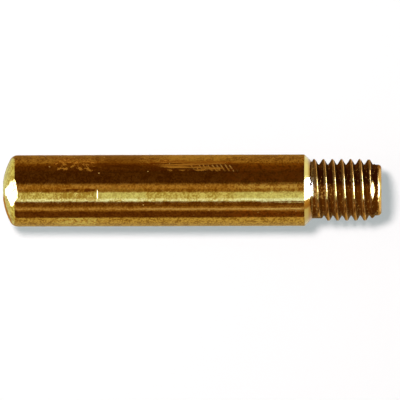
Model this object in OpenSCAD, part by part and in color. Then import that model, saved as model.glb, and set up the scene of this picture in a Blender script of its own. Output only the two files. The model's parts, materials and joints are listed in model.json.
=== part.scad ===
// Welding contact tip with a 1/4-28 thread, close to 1 1/2 in long, turned in one piece.
// It stands on its threaded end: z = 0 is the flat end face, and +Z runs along
// the wire bore to the domed nose. All sizes are in millimetres.

/* [Body] */
// Length from the threaded end face to the rim of the wire outlet
overall_l = 37.8; // [30:0.1:60]
// Body diameter, 9/32 in
body_d = 7.14; // [6.6:0.01:12]

/* [Nose] */
// Length of the nose section that is turned to its own finish
nose_l = 9.4; // [3:0.1:15]
// Amount the nose is turned below the body, on the radius
nose_step = 0.01; // [0.01:0.01:0.2]
// Spherical radius of the domed end
dome_r = 6.6; // [4.5:0.1:20]
// Radius that blends the dome into the side of the nose
rim_r = 0.85; // [0.2:0.05:1.5]

/* [Thread] */
// Major diameter of the thread
thread_d = 6.22; // [5:0.01:6.5]
// Pitch of the thread, 28 turns to the inch
thread_pitch = 0.907; // [0.6:0.001:1.2]
// Turns over which the groove runs out towards the neck
runout_turns = 1; // [0.5:0.25:1.5]
// Distance from the neck to where the groove starts to run out
runout_gap = 0.68; // [0.5:0.01:1.5]

/* [Neck and shoulder] */
// Height of the narrowest point of the neck
neck_z = 6.95; // [5:0.01:12]
// Depth of the neck below the thread crests
neck_depth = 0.27; // [0.2:0.01:0.5]
// Angle of the shoulder cone from the end plane
shoulder_angle = 45; // [30:1:60]

/* [Threaded end] */
// Length of the plain lead before the first turn
lead_l = 0.6; // [0.5:0.05:2]
// Amount the lead lies below the bottom of the groove, on the radius
lead_clear = 0.03; // [0.03:0.01:0.2]
// Chamfer on the edge of the end face
end_chamfer = 0.28; // [0.1:0.01:0.6]

/* [Wire bore] */
// Bore diameter, for wire of 1.2 mm
bore_d = 1.5; // [0.8:0.05:2]
// Diameter of the funnel where the wire enters
funnel_d = 2.8; // [2.2:0.1:3.2]
// Included angle of the funnel
funnel_angle = 60; // [40:1:90]
// Edge break at the wire outlet
outlet_break = 0.12; // [0.05:0.01:0.3]

/* [Fineness] */
// Steps in each turn of the thread
turn_steps = 36; // [24:2:48]
// Steps in each rounded stretch of the nose profile
arc_steps = 12; // [6:1:24]

/* [Hidden] */
$fn = 96;

// Unified thread form: a V of 60 degrees, cut to a flat of an eighth of the pitch
half_angle = 30;
root_w = thread_pitch / 8;
thread_depth = 0.6134 * thread_pitch;

thread_r = thread_d / 2;
root_r = thread_r - thread_depth;
lead_r = root_r - lead_clear;
neck_r = thread_r - neck_depth;
body_r = body_d / 2;
nose_r = body_r - nose_step;
bore_r = bore_d / 2;
funnel_r = funnel_d / 2;

// The dome is centred on the axis, and the wire outlet cuts its top
outlet_r = bore_r + outlet_break;
dome_z = overall_l - sqrt(pow(dome_r, 2) - pow(outlet_r, 2));
outlet_angle = acos(outlet_r / dome_r);

// The rim's circle touches the dome from inside and the side of the nose
rim_x = nose_r - rim_r;
rim_z = dome_z + sqrt(pow(dome_r - rim_r, 2) - pow(rim_x, 2));
rim_angle = atan2(rim_z - dome_z, rim_x);

// The groove enters below the lead and ends clear of the crests
groove_clear = thread_pitch / 10;
groove_r = thread_r + groove_clear;
groove_start_z = lead_l - thread_pitch;
full_turns = (neck_z - runout_gap - groove_start_z) / thread_pitch;
groove_steps = floor((full_turns + runout_turns) * turn_steps);

// Points of an arc about [cx, cz], from angle a0 to a1, less the first ones skipped
function arc(cx, cz, r, a0, a1, skip = 0) = [
    for (i = [skip : arc_steps])
        let (a = a0 + (a1 - a0) * i / arc_steps)
            [cx + r * cos(a), cz + r * sin(a)]
];

// Half of the turned section, with the wire bore open down the middle
function turned_section() = concat(
    [
        [funnel_r, 0],
        [lead_r - end_chamfer, 0],
        [lead_r, end_chamfer],
        [lead_r, lead_l],
        [thread_r, lead_l + thread_r - lead_r],
        [thread_r, neck_z - neck_depth * tan(half_angle)],
        [neck_r, neck_z],
        [body_r, neck_z + (body_r - neck_r) * tan(shoulder_angle)],
        [body_r, overall_l - nose_l - nose_step],
        [nose_r, overall_l - nose_l]
    ],
    arc(rim_x, rim_z, rim_r, 0, rim_angle),
    arc(0, dome_z, dome_r, rim_angle, outlet_angle, skip = 1),
    [
        [bore_r, overall_l - outlet_break],
        [bore_r, (funnel_r - bore_r) / tan(funnel_angle / 2)]
    ]
);

// Cross-section of the groove at a step: two root corners, then two outer ones.
// Past full_turns the tool lifts, so the root rises until it clears the crests.
function groove_section(i) =
    let (
        turn = i / turn_steps,
        lift = max(0, turn - full_turns) / runout_turns,
        a = 360 * (turn - full_turns),
        z = groove_start_z + thread_pitch * turn,
        r = root_r + lift * (thread_depth + groove_clear / 2),
        half_in = root_w / 2,
        half_out = half_in + (groove_r - r) * tan(half_angle)
    )
    [
        [r * cos(a), r * sin(a), z - half_in],
        [r * cos(a), r * sin(a), z + half_in],
        [groove_r * cos(a), groove_r * sin(a), z + half_out],
        [groove_r * cos(a), groove_r * sin(a), z - half_out]
    ];

// The right-hand helical groove as one closed body
module thread_groove() {
    corners = len(groove_section(0));
    points = [for (i = [0 : groove_steps]) each groove_section(i)];
    sides = [
        for (i = [0 : groove_steps - 1], j = [0 : corners - 1])
            let (
                a = corners * i + j,
                b = corners * i + (j + 1) % corners
            )
            each [[b, a, a + corners], [b, a + corners, b + corners]]
    ];
    start = [for (j = [0 : corners - 1]) j];
    end = [for (j = [corners - 1 : -1 : 0]) corners * groove_steps + j];
    polyhedron(points, concat(sides, [start, end]));
}

// The turned blank less its thread groove
module contact_tip() {
    color([0.74, 0.52, 0.2])
    difference() {
        rotate_extrude() polygon(turned_section());
        thread_groove();
    }
}

contact_tip();
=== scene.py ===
import json
import math

import bmesh
import bpy
from mathutils import Matrix, Vector


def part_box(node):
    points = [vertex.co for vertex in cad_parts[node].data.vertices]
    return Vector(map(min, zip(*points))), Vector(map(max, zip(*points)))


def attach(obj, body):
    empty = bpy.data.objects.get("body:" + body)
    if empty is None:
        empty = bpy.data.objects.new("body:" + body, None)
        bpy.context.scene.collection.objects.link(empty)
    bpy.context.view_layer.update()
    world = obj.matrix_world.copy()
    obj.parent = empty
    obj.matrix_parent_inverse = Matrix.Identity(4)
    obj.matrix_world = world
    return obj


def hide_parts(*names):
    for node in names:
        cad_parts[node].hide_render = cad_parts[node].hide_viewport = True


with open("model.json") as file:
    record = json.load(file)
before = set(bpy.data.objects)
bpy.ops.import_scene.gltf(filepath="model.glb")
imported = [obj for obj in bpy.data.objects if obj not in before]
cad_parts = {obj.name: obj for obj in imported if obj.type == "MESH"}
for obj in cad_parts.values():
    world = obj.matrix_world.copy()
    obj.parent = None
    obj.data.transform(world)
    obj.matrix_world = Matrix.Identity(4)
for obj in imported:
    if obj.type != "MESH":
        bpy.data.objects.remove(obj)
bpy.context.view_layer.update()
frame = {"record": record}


# The contact tip: one bar of drawn brass-coloured alloy, turned at both ends.
# The nose is finish-turned with a domed end, the body keeps its drawn skin, and
# the shank has a plain lead and a right-hand thread that runs out at a neck.
MM = 0.001
AXIS = (0, 0, 1)
CENTRE = (0, 0, 0)
AROUND = 144
WELD = 0.0005
AT_LEVEL = 0.002
SHARP_ANGLE = 32

mounts = {m["name"]: m for m in frame["record"]["mounts"]}
low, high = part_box("contact_tip")
TIP_L = (high[2] - low[2]) / MM
BODY_R = (high[0] - low[0]) / 2 / MM
THREAD_R = mounts["thread"]["dims"]["r_mm"]
BORE_R = mounts["wire_bore"]["dims"]["r_mm"]

# Sizes of the blank that the frame doesn't give, in millimetres
LEAD_R = 2.54
LEAD_L = 0.6
END_EDGE = 0.36
FUNNEL_R = 1.4
FUNNEL_HALF_ANGLE = 30
FUNNEL_L = (FUNNEL_R - BORE_R) / math.tan(math.radians(FUNNEL_HALF_ANGLE))
NECK_R = 2.84
NECK_Z = 6.95
SHOULDER_Z = NECK_Z + BODY_R - NECK_R
SHOULDER_EDGE = 0.06
NOSE_L = 9.4
NOSE_Z = TIP_L - NOSE_L
NOSE_STEP = 0.006
DOME_R = 6.6
RIM_R = 0.85
OUTLET_BREAK = 0.12
OUTLET_R = BORE_R + OUTLET_BREAK
BURR_Z = NOSE_Z - 0.1
BURR_RISE = 0.08
BURR_FROM, BURR_TO = -17.5, 7.5

# Form and wear of the thread
PITCH = 0.907
DEPTH = 0.6134 * PITCH
ROOT_R = THREAD_R - DEPTH
ROOT_ARC = 0.06
HALF_ANGLE = 30
FLANK = math.tan(math.radians(HALF_ANGLE))
CREST_ARC = PITCH / 2 / FLANK - DEPTH - ROOT_ARC
THREAD_TURNS = 9
RUNOUT_GAP = 0.68
RUNOUT_Z = NECK_Z - RUNOUT_GAP
FIRST_CREST_Z = RUNOUT_Z - 5.5 * PITCH
FIRST_CREST_R = 3.05
CREST_WEAR = 0.035
WORN_R = 2.81
WORN_Z = 5.82
WORN_SPREAD = 0.9
LEAN = 0.03
UPPER_FLANK_IN = 0.45
JOIN_GAP = 0.01
THREAD_LOW = LEAD_L + JOIN_GAP
THREAD_HIGH = NECK_Z - JOIN_GAP


def line_to(bm, last, radius, height):
    point = bm.verts.new((radius, 0, height))
    bm.edges.new((last, point))
    return point


def arc_to(bm, last, centre_r, centre_z, degrees, steps):
    swept = bmesh.ops.spin(bm, geom=[last], cent=(centre_r, 0, centre_z), axis=(0, -1, 0),
                           angle=math.radians(degrees), steps=steps)
    return next(e for e in swept["geom_last"] if isinstance(e, bmesh.types.BMVert))


def turn_blank(bm):
    nose_r = BODY_R - NOSE_STEP
    dome_z = TIP_L - math.sqrt(DOME_R ** 2 - OUTLET_R ** 2)
    rim_x = nose_r - RIM_R
    rim_z = dome_z + math.sqrt((DOME_R - RIM_R) ** 2 - rim_x ** 2)
    rim_turn = math.degrees(math.atan2(rim_z - dome_z, rim_x))
    outlet_turn = math.degrees(math.acos(OUTLET_R / DOME_R))
    at = bm.verts.new((NECK_R, 0, NECK_Z))
    for inward, upward in ((1, -1), (0.3, -0.1), (0, 0.5), (0, 0.9)):
        at = line_to(bm, at, BODY_R - inward * SHOULDER_EDGE, SHOULDER_Z + upward * SHOULDER_EDGE)
    for share in (0.1, 0.2, 0.3, 0.4, 0.5, 0.6, 0.7, 0.8, 0.9, 0.98):
        at = line_to(bm, at, BODY_R, SHOULDER_Z + share * (NOSE_Z - SHOULDER_Z))
    for height in (NOSE_Z - 0.14, BURR_Z):
        at = line_to(bm, at, BODY_R, height)
    for height in (NOSE_Z, NOSE_Z + 0.03):
        at = line_to(bm, at, nose_r, height)
    for share in (0.05, 0.3, 0.6, 0.9):
        at = line_to(bm, at, nose_r, NOSE_Z + share * (rim_z - NOSE_Z))
    at = line_to(bm, at, nose_r, rim_z)
    at = arc_to(bm, at, rim_x, rim_z, rim_turn, steps=16)
    at = arc_to(bm, at, 0, dome_z, outlet_turn - rim_turn, steps=20)
    at = line_to(bm, at, BORE_R, TIP_L - OUTLET_BREAK)
    at = line_to(bm, at, BORE_R, FUNNEL_L)
    at = line_to(bm, at, FUNNEL_R, 0)
    at = line_to(bm, at, LEAD_R - END_EDGE, 0)
    at = arc_to(bm, at, LEAD_R - END_EDGE, END_EDGE, 90, steps=8)
    line_to(bm, at, LEAD_R, LEAD_L)
    bmesh.ops.spin(bm, geom=bm.verts[:] + bm.edges[:], cent=CENTRE, axis=AXIS,
                   angle=math.tau, steps=AROUND, use_merge=True)
    # A burr on the nose line, where the camera sees a short glint
    for v in bm.verts:
        from_front = math.degrees(math.atan2(v.co.x, -v.co.y))
        if abs(v.co.z - BURR_Z) < AT_LEVEL and BURR_FROM < from_front < BURR_TO:
            v.co.z += BURR_RISE


def cut_level(bm, z, **cleared):
    bmesh.ops.bisect_plane(bm, geom=bm.verts[:] + bm.edges[:] + bm.faces[:], plane_co=(0, 0, z),
                           plane_no=AXIS, dist=WELD, **cleared)


def cut_thread(bm):
    first_z = FIRST_CREST_Z - 2 * PITCH
    at = bm.verts.new((ROOT_R, 0, first_z - PITCH / 2))
    at = arc_to(bm, at, ROOT_R + ROOT_ARC, first_z - PITCH / 2, HALF_ANGLE - 90, steps=3)
    start = at.co.copy()
    stop = Vector((THREAD_R - CREST_ARC / 2, 0, first_z - CREST_ARC * math.cos(math.radians(HALF_ANGLE))))
    for share in (0.06, 0.5, 0.94, 1):
        at = line_to(bm, at, *start.lerp(stop, share).xz)
    at = arc_to(bm, at, THREAD_R - CREST_ARC, first_z, 180 - 2 * HALF_ANGLE, steps=8)
    for share in (0.94, 0.5, 0.06, 0):
        on_flank = start.lerp(stop, share)
        at = line_to(bm, at, on_flank.x, 2 * first_z - on_flank.z)
    arc_to(bm, at, ROOT_R + ROOT_ARC, first_z + PITCH / 2, HALF_ANGLE - 90, steps=3)
    # The flank towards the nose is rubbed back, so a tooth is not quite even
    for v in bm.verts:
        share = max(v.co.z - first_z, 0) / (PITCH / 2)
        v.co.z -= UPPER_FLANK_IN * share * (1 - share) * PITCH / 2
    bmesh.ops.spin(bm, geom=bm.verts[:] + bm.edges[:], cent=CENTRE, axis=AXIS,
                   angle=THREAD_TURNS * math.tau, dvec=(0, 0, PITCH / AROUND),
                   steps=THREAD_TURNS * AROUND)
    bmesh.ops.remove_doubles(bm, verts=bm.verts, dist=WELD)
    for v in bm.verts:
        v.co.z -= LEAN * (1 - v.co.x / THREAD_R)
    cut_level(bm, LEAD_L + THREAD_R - LEAD_R)
    cut_level(bm, NECK_Z - (THREAD_R - NECK_R) * FLANK)
    cut_level(bm, THREAD_LOW, clear_inner=True)
    cut_level(bm, THREAD_HIGH, clear_outer=True)
    # Each point is held within the run-out, the lead, the neck and the worn crests
    for v in bm.verts:
        radius = v.co.xy.length
        turn = math.atan2(v.co.y, v.co.x) / math.tau
        leant_z = v.co.z + LEAN * (1 - v.co.x / THREAD_R)
        turn += round((leant_z - RUNOUT_Z) / PITCH - turn)
        lifted = ROOT_R + min(max(turn, 0), 1) * DEPTH
        to_lead = LEAD_R + v.co.z - LEAD_L
        to_neck = NECK_R + (NECK_Z - v.co.z) / FLANK
        worn = THREAD_R - CREST_WEAR * (1 - v.co.x / radius)
        if leant_z < FIRST_CREST_Z + PITCH / 2:
            worn = min(worn, FIRST_CREST_R)
        if v.co.z > WORN_Z:
            worn = min(worn, WORN_R + WORN_SPREAD * math.atan2(v.co.y, -v.co.x) ** 2)
        v.co.xy *= min(max(radius, lifted), to_lead, to_neck, worn) / radius


def rim_edges(bm, height):
    return [e for e in bm.edges
            if e.is_boundary and all(abs(v.co.z - height) < AT_LEVEL for v in e.verts)]


mesh = bpy.data.meshes.new("contact_tip_turned")
tip_bm = bmesh.new()
turn_blank(tip_bm)
thread_bm = bmesh.new()
cut_thread(thread_bm)
thread_mesh = bpy.data.meshes.new("thread_cut")
thread_bm.to_mesh(thread_mesh)
thread_bm.free()
tip_bm.from_mesh(thread_mesh)
bpy.data.meshes.remove(thread_mesh)
for blank_z, thread_z in ((LEAD_L, THREAD_LOW), (NECK_Z, THREAD_HIGH)):
    bmesh.ops.bridge_loops(tip_bm, edges=rim_edges(tip_bm, blank_z) + rim_edges(tip_bm, thread_z))
bmesh.ops.remove_doubles(tip_bm, verts=tip_bm.verts, dist=WELD)
bmesh.ops.recalc_face_normals(tip_bm, faces=tip_bm.faces)
for face in tip_bm.faces:
    face.smooth = True
bmesh.ops.scale(tip_bm, vec=(MM, MM, MM), verts=tip_bm.verts)
tip_bm.to_mesh(mesh)
tip_bm.free()
mesh.set_sharp_from_angle(angle=math.radians(SHARP_ANGLE))
tip = bpy.data.objects.new("contact_tip_turned", mesh)
bpy.context.scene.collection.objects.link(tip)

metal = bpy.data.materials.new("drawn_and_turned_brass")
metal.use_nodes = True
nodes = metal.node_tree.nodes
link = metal.node_tree.links.new
shader = nodes["Principled BSDF"]
shader.inputs["Specular IOR Level"].default_value = 0
place = nodes.new("ShaderNodeTexCoord")
in_mm = nodes.new("ShaderNodeVectorMath")
in_mm.operation = "SCALE"
in_mm.inputs["Scale"].default_value = 1 / MM
link(place.outputs["Object"], in_mm.inputs[0])


def noise(name, scale, detail=2.0, roughness=0.5, stretch=None):
    made = nodes.new("ShaderNodeTexNoise")
    made.name = name
    made.inputs["Scale"].default_value = scale
    made.inputs["Detail"].default_value = detail
    made.inputs["Roughness"].default_value = roughness
    source = in_mm
    if stretch:
        source = nodes.new("ShaderNodeMapping")
        source.inputs["Scale"].default_value = stretch
        link(in_mm.outputs[0], source.inputs["Vector"])
    link(source.outputs[0], made.inputs["Vector"])
    return made.outputs["Fac"]


def calc(operation, first, second=None, third=None):
    made = nodes.new("ShaderNodeMath")
    made.operation = operation
    for socket, value in zip(made.inputs, (first, second, third)):
        if isinstance(value, (int, float)):
            socket.default_value = value
        elif value is not None:
            link(value, socket)
    return made.outputs[0]


def product(first, *others):
    for other in others:
        first = calc("MULTIPLY", first, other)
    return first


def total(first, *others):
    for other in others:
        first = calc("ADD", first, other)
    return first


def centred(value, width):
    return product(calc("SUBTRACT", value, 0.5), width)


def ramp(value, low_in, high_in, low_out=0.0, high_out=1.0):
    made = nodes.new("ShaderNodeMapRange")
    made.interpolation_type = "SMOOTHSTEP"
    made.inputs["From Min"].default_value = low_in
    made.inputs["From Max"].default_value = high_in
    made.inputs["To Min"].default_value = low_out
    made.inputs["To Max"].default_value = high_out
    link(value, made.inputs["Value"])
    return made.outputs[0]


def tint(fac, first, second):
    made = nodes.new("ShaderNodeMix")
    made.data_type = "RGBA"
    link(fac, made.inputs["Factor"])
    for socket, value in ((made.inputs[6], first), (made.inputs[7], second)):
        if isinstance(value, tuple):
            socket.default_value = (*value, 1)
        else:
            link(value, socket)
    return made.outputs[2]


def bump(height, depth_mm, below=None):
    made = nodes.new("ShaderNodeBump")
    made.inputs["Strength"].default_value = 1
    made.inputs["Distance"].default_value = depth_mm * MM
    link(height, made.inputs["Height"])
    if below:
        link(below, made.inputs["Normal"])
    return made.outputs[0]


xyz = nodes.new("ShaderNodeSeparateXYZ")
link(in_mm.outputs[0], xyz.inputs[0])
x_mm = xyz.outputs["X"]
y_mm = xyz.outputs["Y"]
height_mm = xyz.outputs["Z"]
radius_mm = calc("SQRT", total(product(x_mm, x_mm), product(y_mm, y_mm)))

drawn_lines = noise("drawn_lines", 1, 3, 0.6, (6, 6, 0.22))
mottle = noise("mottle", 1.6, 2, 0.55)
grain = noise("grain", 5.5, 2)
blotches = noise("blotches", 2.6, 3, 0.6)
specks = noise("specks", 5, 1)
skin = total(product(mottle, 0.4), product(grain, 0.6))

# Places on the tip: angles go round from the camera's side, up to +X
angle = product(calc("ARCTAN2", x_mm, product(y_mm, -1)), math.degrees(1))
off_angle = calc("ABSOLUTE", angle)
ragged_angle = total(angle, centred(mottle, 22))
ragged_height = total(height_mm, centred(mottle, 3))
NOSE_FOOT = 28.45
BODY_HEAD = 28.4
REAR_LOW, REAR_HIGH = 7.6, 14.4
LINE_ANGLE = -31.3


def from_angle(centre):
    return calc("ABSOLUTE", calc("SUBTRACT", angle, centre))


def zone(z_low, z_high, angle_low, angle_high, soft_z=0.5, soft_angle=3):
    return product(ramp(ragged_height, z_low - soft_z, z_low + soft_z),
                   ramp(ragged_height, z_high - soft_z, z_high + soft_z, 1, 0),
                   ramp(ragged_angle, angle_low - soft_angle, angle_low + soft_angle),
                   ramp(ragged_angle, angle_high - soft_angle, angle_high + soft_angle, 1, 0))


# Wear of the nose and the body, and painted highlights and tones placed by the angle from the camera, as
# marked
rubbed = product(zone(15.4, 22.6, 34, 56, 1.6, 4), ramp(drawn_lines, 0.42, 0.62))
handled = product(zone(NOSE_FOOT, 32.6, 33, 66, 0.4, 7), ramp(blotches, 0.44, 0.62))
scuffed = total(rubbed, handled)
patched = product(zone(NOSE_FOOT, 32.3, -78, -47, 0.4), ramp(blotches, 0.42, 0.56))
pitted = product(zone(NOSE_FOOT, 32.9, -14, 4, 0.4, 2), ramp(blotches, 0.40, 0.54))
# Pale tints on bands facing the camera, where reflections fall: painted highlight.
front_band_highlight = total(product(zone(23.5, BODY_HEAD, -14, 4, 0.4), 0.3),
                  product(zone(REAR_LOW, REAR_HIGH, -18, -2, 0.9), 0.3),
                  product(zone(REAR_LOW, REAR_HIGH, 1, 14, 0.9), ramp(skin, 0.40, 0.60, 0.1, 1)))
rear_skin = product(total(zone(7.7, 15.6, 14, 48, 1.2, 6), zone(7.7, 15.2, -50, -34, 1.2)),
                    ramp(blotches, 0.38, 0.60))
# Darker towards the top near the nose, and dark spots towards the top and bottom as seen from the camera.
darkened = zone(24.1, BODY_HEAD, 44, 95, 0.4, 6)
polished = zone(14.6, 21.6, 46, 95, 1.2, 5)
drawn_marks = product(zone(13, 28, 30, 62, 1.5, 5), ramp(drawn_lines, 0.41, 0.49, 1, 0))
limb_spots = product(ramp(off_angle, 42, 56), ramp(skin, 0.42, 0.52, 1, 0))
dark_dashes = product(ramp(height_mm, 28.4, 28.5), ramp(ragged_height, 31.0, 32.4, 1, 0),
                      ramp(from_angle(0.5), 1.5, 3.2, 1, 0), ramp(blotches, 0.43, 0.52))
# Pale lines at two angles from the camera, where reflected lines fall on the drawn skin: painted
# highlight lines.
on_lines = total(ramp(from_angle(5.5), 0.6, 1.6, 1, 0), ramp(from_angle(LINE_ANGLE), 0.8, 2.2, 1, 0))
short_lines = product(on_lines, ramp(height_mm, 7.8, 8.1), ramp(ragged_height, 11.2, 12.6, 1, 0),
                      ramp(grain, 0.30, 0.50))
long_line = product(ramp(from_angle(LINE_ANGLE), 1, 3, 0.35, 0), ramp(ragged_height, 23, 25, 1, 0))
highlight_lines = calc("MAXIMUM", short_lines, long_line)

hatch_turn = nodes.new("ShaderNodeMapping")
hatch_turn.inputs["Rotation"].default_value = (0, math.radians(35), 0)
link(in_mm.outputs[0], hatch_turn.inputs["Vector"])
hatch_lines = nodes.new("ShaderNodeTexWave")
hatch_lines.bands_direction = "Z"
hatch_lines.inputs["Scale"].default_value = 0.9
hatch_lines.inputs["Distortion"].default_value = 1.5
hatch_lines.inputs["Detail"].default_value = 1
link(hatch_turn.outputs[0], hatch_lines.inputs["Vector"])
hatch = product(zone(14.8, 18.9, 34, 46, 0.4, 2), ramp(hatch_lines.outputs["Fac"], 0.45, 1.0, 0, 0.8))

nick_cells = nodes.new("ShaderNodeTexVoronoi")
nick_cells.inputs["Scale"].default_value = 0.9
link(in_mm.outputs[0], nick_cells.inputs["Vector"])
nicks = ramp(nick_cells.outputs["Distance"], 0.045, 0.075, 1, 0)

# Tarnish lies on the lead, below the crests and on their upper side, with clean specks in it.
# The place on the helix is 0 at a crest, and above 0 on the side towards the nose.
around = calc("DIVIDE", calc("ARCTAN2", y_mm, x_mm), math.tau)
leant_mm = total(height_mm, calc("MULTIPLY_ADD", x_mm, -LEAN / THREAD_R, LEAN))
helix = calc("SUBTRACT", calc("DIVIDE", calc("SUBTRACT", leant_mm, FIRST_CREST_Z), PITCH), around)
on_helix = calc("SUBTRACT", calc("FRACT", total(helix, 0.5)), 0.5)
upper_side = ramp(total(on_helix, centred(grain, 0.1)), 0.0, 0.05)
worn_below = calc("MAXIMUM", product(x_mm, -CREST_WEAR / THREAD_R), 0)
ragged_radius = total(radius_mm, worn_below, product(grain, 0.16))
below_crest = ramp(ragged_radius, 3.03, 3.16, 1, 0)
dark_sides = calc("MAXIMUM", below_crest, product(upper_side, 0.9))
# The first flank is kept clean only towards the camera, with an edge curved by the angle from it, so a
# glint falls there: painted highlight.
curved_edge = total(centred(grain, 0.3), product(angle, angle, 0.0004))
first_flank_glint = product(ramp(total(height_mm, curved_edge), 1.01, 1.09, 1, 0),
                      ramp(calc("SUBTRACT", radius_mm, curved_edge), 2.60, 2.70),
                      ramp(off_angle, 16, 30, 1, 0.25))
grooves = product(ramp(total(height_mm, product(grain, 0.3)), 0.40, 0.52),
                  ramp(height_mm, 6.85, 7.05, 1, 0))
# The neck's front, towards the camera, is kept free of tarnish and is tinted pale further down: a painted
# glint.
neck_front_glint = product(ramp(height_mm, 6.72, 6.78), ramp(height_mm, 7.15, 7.25, 1, 0),
                     ramp(from_angle(6), 15, 21, 1, 0))
tarnish = product(grooves, calc("MAXIMUM", calc("SUBTRACT", dark_sides, first_flank_glint), 0),
                  calc("SUBTRACT", 1, neck_front_glint))
rubbed_turns = product(ramp(height_mm, 4.4, 5.4), ramp(from_angle(-3), 8, 18, 1, 0))
clean = ramp(total(specks, ramp(angle, -75, 5, 0.07, 0), product(rubbed_turns, 0.13)), 0.64, 0.74)

# Colours of the skin, each laid over the one before: wear, and the painted highlights marked above
gold = tint(ramp(skin, 0.37, 0.63), (0.48, 0.28, 0.045), (0.80, 0.595, 0.20))
for mask, share, colour in (
    (front_band_highlight, 1.0, (0.92, 0.86, 0.38)),
    (rear_skin, 0.8, (0.98, 0.62, 0.17)),
    (polished, 0.8, (0.98, 0.78, 0.24)),
    (darkened, 0.65, (0.36, 0.17, 0.01)),
    (limb_spots, 0.45, (0.26, 0.11, 0.008)),
    (drawn_marks, 0.6, (0.28, 0.12, 0.008)),
    (patched, 0.7, (0.92, 0.88, 0.42)),
    (pitted, 0.7, (0.40, 0.18, 0.012)),
    (dark_dashes, 0.8, (0.25, 0.09, 0.004)),
    (highlight_lines, 0.8, (1.0, 0.95, 0.5)),
    (hatch, 1.0, (0.60, 0.33, 0.06)),
    (calc("MINIMUM", product(scuffed, 3), 1), 1.0, (0.48, 0.205, 0.02)),
):
    gold = tint(product(mask, share), gold, colour)

# Colours of the shoulder, the neck and the thread. The shoulder cone is painted lighter towards the front
# and top and darker towards the bottom and the sides, as seen from the camera: painted shade.
cone_painted_shade = tint(ramp(angle, -32, -16), (0.50, 0.35, 0.075), (0.76, 0.62, 0.18))
cone_side_shade = product(ramp(height_mm, 7.1, 7.45, 1, 0), ramp(off_angle, 16, 30))
cone_painted_shade = tint(cone_side_shade, cone_painted_shade, (0.36, 0.16, 0.012))
on_cone = product(ramp(height_mm, 6.85, 7.05), ramp(height_mm, 7.70, 7.76, 1, 0))
gold = tint(on_cone, gold, cone_painted_shade)
gold = tint(nicks, gold, (0.70, 0.42, 0.11))
# Pale tint on the neck's front: painted glint.
gold = tint(neck_front_glint, gold, (0.92, 0.88, 0.70))
# The crests are painted darker away from the front, so they stay bright only towards the camera, where
# the glints fall: painted shade.
crest_side_shade = product(ramp(height_mm, 6.8, 7.0, 1, 0), ramp(off_angle, 18, 34, 0.05, 0.8))
gold = tint(crest_side_shade, gold, (0.62, 0.32, 0.055))
# The tarnish colour is painted lighter and darker by the angle from the camera: darkest just above the
# front, lighter at the front and at the top, lightest at the bottom. This is painted shade and light; the
# clean specks laid over it are real.
tarnish_with_painted_shade = tint(ramp(angle, 4, 17), (0.095, 0.023, 0.0006), (0.026, 0.0045, 0.0002))
tarnish_with_painted_shade = tint(ramp(angle, 46, 68), tarnish_with_painted_shade, (0.07, 0.018, 0.0005))
tarnish_with_painted_shade = tint(ramp(angle, -80, -55, 1, 0), tarnish_with_painted_shade, (0.26, 0.13, 0.03))
tarnish_with_painted_shade = tint(clean, tarnish_with_painted_shade, (0.36, 0.18, 0.035))
link(tint(tarnish, gold, tarnish_with_painted_shade), shader.inputs["Base Color"])

bright = calc("SUBTRACT", 1, product(tarnish, 0.95))
worn_through = calc("MAXIMUM", ramp(scuffed, 0.25, 0.9), calc("MAXIMUM", hatch, nicks))
link(calc("SUBTRACT", bright, product(worn_through, 0.5)), shader.inputs["Metallic"])
polish = total(ramp(mottle, 0.3, 0.7, 0.05, 0.12), product(scuffed, 0.05))
link(total(polish, product(tarnish, 0.35)), shader.inputs["Roughness"])
surface = bump(drawn_lines, 0.002)
surface = bump(product(mottle, ramp(height_mm, 35.9, 36.4, 1, 0.25)), 0.006, surface)
surface = bump(grain, 0.002, surface)
surface = bump(hatch, 0.002, surface)
surface = bump(product(drawn_lines, ramp(height_mm, 10, 14, 1, 0)), 0.008, surface)
link(surface, shader.inputs["Normal"])
mesh.materials.append(metal)
tip.visible_diffuse = False
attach(tip, "root")
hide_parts("contact_tip")


# The pale floor, which glows faintly so that it stays pale from all sides, and a pale
# wall close behind the tip that takes its soft shadow. The wall has one face, so a view
# from behind looks through it. The metal mirrors neither of them.
def stage_object(name, bm, material):
    shape = bpy.data.meshes.new(name)
    bm.to_mesh(shape)
    bm.free()
    shape.materials.append(material)
    stood = bpy.data.objects.new(name, shape)
    bpy.context.scene.collection.objects.link(stood)
    return stood


def pale_paper(name):
    material = bpy.data.materials.new(name)
    material.use_nodes = True
    sheet = material.node_tree.nodes["Principled BSDF"]
    sheet.inputs["Base Color"].default_value = (0.9, 0.9, 0.9, 1)
    sheet.inputs["Roughness"].default_value = 0.9
    sheet.inputs["Specular IOR Level"].default_value = 0
    return material


STAGE_SIZE = 0.4
WALL_Y = 3.7 * MM
floor_paper = pale_paper("pale_floor")
floor_shader = floor_paper.node_tree.nodes["Principled BSDF"]
floor_shader.inputs["Emission Color"].default_value = (1, 1, 1, 1)
floor_shader.inputs["Emission Strength"].default_value = 0.3
floor_bm = bmesh.new()
bmesh.ops.create_grid(floor_bm, x_segments=1, y_segments=1, size=STAGE_SIZE)
floor = stage_object("floor", floor_bm, floor_paper)
floor.visible_shadow = False
floor.visible_diffuse = False
floor.visible_glossy = False

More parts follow.
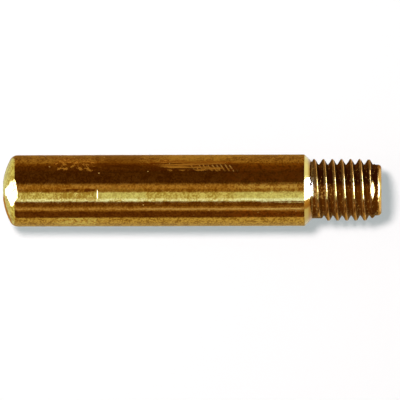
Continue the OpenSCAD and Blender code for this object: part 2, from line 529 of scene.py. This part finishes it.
wall_paper = pale_paper("pale_wall")
wall_nodes = wall_paper.node_tree.nodes
wall_link = wall_paper.node_tree.links.new
facing = wall_nodes.new("ShaderNodeNewGeometry")
see_through = wall_nodes.new("ShaderNodeBsdfTransparent")
one_face = wall_nodes.new("ShaderNodeMixShader")
wall_link(facing.outputs["Backfacing"], one_face.inputs["Fac"])
wall_link(wall_nodes["Principled BSDF"].outputs[0], one_face.inputs[1])
wall_link(see_through.outputs[0], one_face.inputs[2])
wall_link(one_face.outputs[0], wall_nodes["Material Output"].inputs["Surface"])
upright = Matrix.Translation((0, WALL_Y, 0)) @ Matrix.Rotation(math.radians(90), 4, "X")
wall_bm = bmesh.new()
bmesh.ops.create_grid(wall_bm, x_segments=1, y_segments=1, size=STAGE_SIZE, matrix=upright)
wall = stage_object("wall", wall_bm, wall_paper)
wall.visible_glossy = False
wall.visible_shadow = False


# The light tent: a cloth round the tip with darker cards pinned on it, which only the
# metal's reflections see. It reaches below the floor, so that views from above still
# find the cards. Angles go round from the camera, up to +X.
def glow_only(thing):
    thing.visible_camera = False
    thing.visible_diffuse = False
    thing.visible_shadow = False


def lamp_cloth(name, strength, colour):
    material = bpy.data.materials.new(name)
    material.use_nodes = True
    material.node_tree.nodes.clear()
    glow = material.node_tree.nodes.new("ShaderNodeEmission")
    glow.inputs["Strength"].default_value = strength
    glow.inputs["Color"].default_value = (*colour, 1)
    out = material.node_tree.nodes.new("ShaderNodeOutputMaterial")
    material.node_tree.links.new(glow.outputs[0], out.inputs["Surface"])
    return material


TENT_R = 0.12
TENT_H = 0.112
TENT_FOOT = -0.06
TENT_SLOPE = 0.05
TENT_STEPS = 90
ROOF_R = 0.15
ROOF_H = 0.4
ROOF_Z = 0.25
BANDS = (
    (-180, -132, (0.515, 0.39, 0.167)),
    (-128, -99, (0.585, 0.44, 0.17)),
    (-96, -70, (0.136, 0.048, 0.007)),
    (-68, -65, (0.364, 0.196, 0.053)),
    (-63, -60, (0.576, 0.39, 0.20)),
    (-57, -54, (0.364, 0.196, 0.053)),
    (-51, -36.2, (0.174, 0.07, 0.007)),
    (-33, -27, (1.06, 1.30, 1.6)),
    (-25, -7, (0.712, 0.74, 0.453)),
    (-4, 4, (0.318, 0.163, 0.027)),
    (6, 15.5, (0.4545, 0.26, 0.08)),
    (24.5, 66, (0.083, 0.030, 0.0033)),
    (69, 82, (0.115, 0.041, 0.004)),
    (92, 97, (0.20, 0.078, 0.007)),
    (101, 180, (0.364, 0.196, 0.047)),
)
cloth = bpy.data.materials.new("tent_cloth")
cloth.use_nodes = True
cloth_nodes = cloth.node_tree.nodes
cloth_link = cloth.node_tree.links.new
cloth_nodes.clear()
cloth_place = cloth_nodes.new("ShaderNodeTexCoord")
cloth_xyz = cloth_nodes.new("ShaderNodeSeparateXYZ")
cloth_link(cloth_place.outputs["Object"], cloth_xyz.inputs[0])
to_camera = cloth_nodes.new("ShaderNodeMath")
to_camera.operation = "MULTIPLY"
to_camera.inputs[1].default_value = -1
cloth_link(cloth_xyz.outputs["Y"], to_camera.inputs[0])
round_angle = cloth_nodes.new("ShaderNodeMath")
round_angle.operation = "ARCTAN2"
cloth_link(cloth_xyz.outputs["X"], round_angle.inputs[0])
cloth_link(to_camera.outputs[0], round_angle.inputs[1])
round_share = cloth_nodes.new("ShaderNodeMapRange")
round_share.inputs["From Min"].default_value = -math.pi
round_share.inputs["From Max"].default_value = math.pi
cloth_link(round_angle.outputs[0], round_share.inputs["Value"])
cards = cloth_nodes.new("ShaderNodeValToRGB")
stops = [((edge + 180) / 360, colour) for first, last, colour in BANDS for edge in (first, last)]
for stop_index, (position, colour) in enumerate(stops):
    if stop_index < 2:
        stop = cards.color_ramp.elements[stop_index]
        stop.position = position
    else:
        stop = cards.color_ramp.elements.new(position)
    stop.color = (*colour, 1)
cloth_link(round_share.outputs[0], cards.inputs["Fac"])
cloth_glow = cloth_nodes.new("ShaderNodeEmission")
cloth_link(cards.outputs["Color"], cloth_glow.inputs["Color"])
cloth_out = cloth_nodes.new("ShaderNodeOutputMaterial")
cloth_link(cloth_glow.outputs[0], cloth_out.inputs["Surface"])

tent_bm = bmesh.new()
tent_foot = tent_bm.verts.new((0, TENT_R, TENT_FOOT))
tent_head = tent_bm.verts.new((0, TENT_R, TENT_H))
tent_bm.edges.new((tent_foot, tent_head))
bmesh.ops.spin(tent_bm, geom=tent_bm.verts[:] + tent_bm.edges[:], cent=CENTRE, axis=AXIS,
               angle=math.tau, steps=TENT_STEPS, use_merge=True)
for v in tent_bm.verts:
    if v.co.z > 0:
        v.co.z = TENT_H - TENT_SLOPE * v.co.y / TENT_R
glow_only(stage_object("light_tent", tent_bm, cloth))

roof_bm = bmesh.new()
bmesh.ops.create_cone(roof_bm, segments=TENT_STEPS, radius1=ROOF_R, radius2=ROOF_R, depth=ROOF_H,
                      matrix=Matrix.Translation((0, 0, ROOF_Z)))
glow_only(stage_object("tent_roof", roof_bm, lamp_cloth("roof_cloth", 1, (0.80, 0.87, 0.48))))


# The softbox leans over the nose from the camera's side and runs back as a strip, and a
# brown card stands behind the tip. Cards on the floor light the shoulder and the thread
# from below: a white one in front, a brown one beside it and a pale one on each side.
WHITE = (1.0, 1.0, 1.0)
COOL_WHITE = (1.0, 1.15, 1.9)
SOFTBOX_R = 0.11
SOFTBOX_TOP = 0.147
SOFTBOX_LOW = ((-46, 0.147), (-33, 0.095), (-25, 0.052), (-10, 0.047), (10, 0.068), (34, 0.100),
               (47, 0.147))
STRIP = ((0.076, -0.076), (0.0365, -0.015), (0.0165, 0.067), (0.0112, 0.086), (0.0053, 0.122),
         (0, 0.23), (-0.0089, 0.125), (-0.0196, 0.095), (-0.0279, 0.080), (-0.060, 0.0076),
         (-0.073, -0.022), (-0.079, -0.076), (-0.05, -SOFTBOX_R), (0.05, -SOFTBOX_R))
softbox_bm = bmesh.new()
lower = []
upper = []
for degrees, height in SOFTBOX_LOW:
    turn = math.radians(degrees)
    at = Vector((SOFTBOX_R * math.sin(turn), -SOFTBOX_R * math.cos(turn), height))
    lower.append(softbox_bm.verts.new(at))
    upper.append(softbox_bm.verts.new((at.x, at.y, SOFTBOX_TOP)))
softbox_bm.faces.new(lower + upper[-2:0:-1])
softbox_bm.faces.new([softbox_bm.verts.new((x, y, SOFTBOX_TOP)) for x, y in STRIP])
glow_only(stage_object("softbox", softbox_bm, lamp_cloth("softbox_cloth", 6, COOL_WHITE)))

BACK_Y = 0.14
BACK_CARD = ((-0.004, 0.04), (-0.12, 0.04), (-0.12, 0.108), (-0.004, 0.108))
back_bm = bmesh.new()
back_bm.faces.new([back_bm.verts.new((x, BACK_Y, z)) for x, z in BACK_CARD])
glow_only(stage_object("back_card", back_bm, lamp_cloth("back_card", 1, (0.55, 0.26, 0.04))))

CARD_Z = 0.05
FLOOR_CARDS = (
    ("white_card", 10, COOL_WHITE,
     ((-2.1, -2.7), (-3.0, -3.6), (-4.3, -7.0), (-7.5, -14), (7.5, -14), (5.0, -6.5), (3.6, -4.4),
      (4.4, -1.6), (3.0, -2.3), (1.3, -2.85), (1.0, -2.6), (-0.9, -2.6), (-1.2, -2.85))),
    ("brown_card", 1, (0.60, 0.32, 0.10),
     ((-2.1, -2.7), (-5.4, -0.4), (-12, -6), (-10, -14), (-7.5, -14), (-4.3, -7.0), (-3.0, -3.6))),
    ("upper_side_card", 0.9, WHITE, ((6, 5), (14, 5), (15, 45), (7, 45))),
    ("lower_side_card", 0.9, WHITE, ((-6, 5), (-14, 5), (-15, 45), (-7, 45))),
)
for name, strength, colour, outline in FLOOR_CARDS:
    card_bm = bmesh.new()
    card_bm.faces.new([card_bm.verts.new((x * MM, y * MM, CARD_Z * MM)) for x, y in outline])
    glow_only(stage_object(name, card_bm, lamp_cloth(name, strength, colour)))


# The lamps: a soft key beside the camera, a fill along the view and a lamp overhead.
# The metal doesn't mirror them. The surround is white where a view or the metal meets
# it, and lights the stage only a little.
LAMP_DISTANCE = 0.5
LAMP_AIM = Vector((0, 0, 0.019))
SURROUND_LIGHT = 0.06


def add_lamp(name, kind, direction, energy, colour, size=0.0):
    data = bpy.data.lights.new(name, kind)
    data.energy = energy
    data.color = colour
    if kind == "AREA":
        data.shape = "DISK"
        data.size = size
    made = bpy.data.objects.new(name, data)
    bpy.context.scene.collection.objects.link(made)
    toward = Vector(direction).normalized()
    made.location = toward * LAMP_DISTANCE + LAMP_AIM
    made.rotation_euler = toward.to_track_quat("Z", "Y").to_euler()
    made.visible_glossy = False


add_lamp("key_lamp", "AREA", (0.199, -1, 0.18), 1.68, (1.0, 0.91, 0.91), 0.10)
add_lamp("fill_lamp", "SUN", (0, -1, 0), 1.33, (0.91, 1.0, 1.0))
add_lamp("top_lamp", "AREA", (0, -0.1, 1), 1.2, WHITE, 0.3)

world = bpy.data.worlds.new("white_surround")
bpy.context.scene.world = world
world.use_nodes = True
world_nodes = world.node_tree.nodes
world_link = world.node_tree.links.new
ray = world_nodes.new("ShaderNodeLightPath")
seen = world_nodes.new("ShaderNodeMath")
seen.operation = "ADD"
world_link(ray.outputs["Is Camera Ray"], seen.inputs[0])
world_link(ray.outputs["Is Glossy Ray"], seen.inputs[1])
seen_all = world_nodes.new("ShaderNodeMath")
seen_all.operation = "ADD"
seen_all.use_clamp = True
world_link(seen.outputs[0], seen_all.inputs[0])
world_link(ray.outputs["Is Transmission Ray"], seen_all.inputs[1])
level = world_nodes.new("ShaderNodeMapRange")
level.inputs["To Min"].default_value = SURROUND_LIGHT
level.inputs["To Max"].default_value = 1
world_link(seen_all.outputs[0], level.inputs["Value"])
world_link(level.outputs[0], world_nodes["Background"].inputs["Strength"])
world_nodes["Background"].inputs["Color"].default_value = (1, 1, 1, 1)


# The camera: square on to the tip, with the nose to the left of the picture.
# The pixel size, the axis row and the column of the end face are measured in the photo.
PIXEL = 0.0999 * MM
PICTURE = 400
AXIS_ROW = 190.45
END_COLUMN = 381.45
CAMERA_Y = -0.3
TILT = math.radians(0.14)
camera_data = bpy.data.cameras.new("camera")
camera_data.type = "ORTHO"
camera_data.ortho_scale = PICTURE * PIXEL
camera_data.clip_start = 0.001
camera = bpy.data.objects.new("camera", camera_data)
bpy.context.scene.collection.objects.link(camera)
square_on = Matrix(((0, 1, 0), (0, 0, -1), (-1, 0, 0))).to_4x4()
camera_at = Vector(((AXIS_ROW - PICTURE / 2) * PIXEL, CAMERA_Y, (END_COLUMN - PICTURE / 2) * PIXEL))
camera.matrix_world = Matrix.Translation(camera_at) @ square_on @ Matrix.Rotation(-TILT, 4, "Z")
bpy.context.scene.camera = camera
bpy.context.scene.view_settings.view_transform = "Standard"
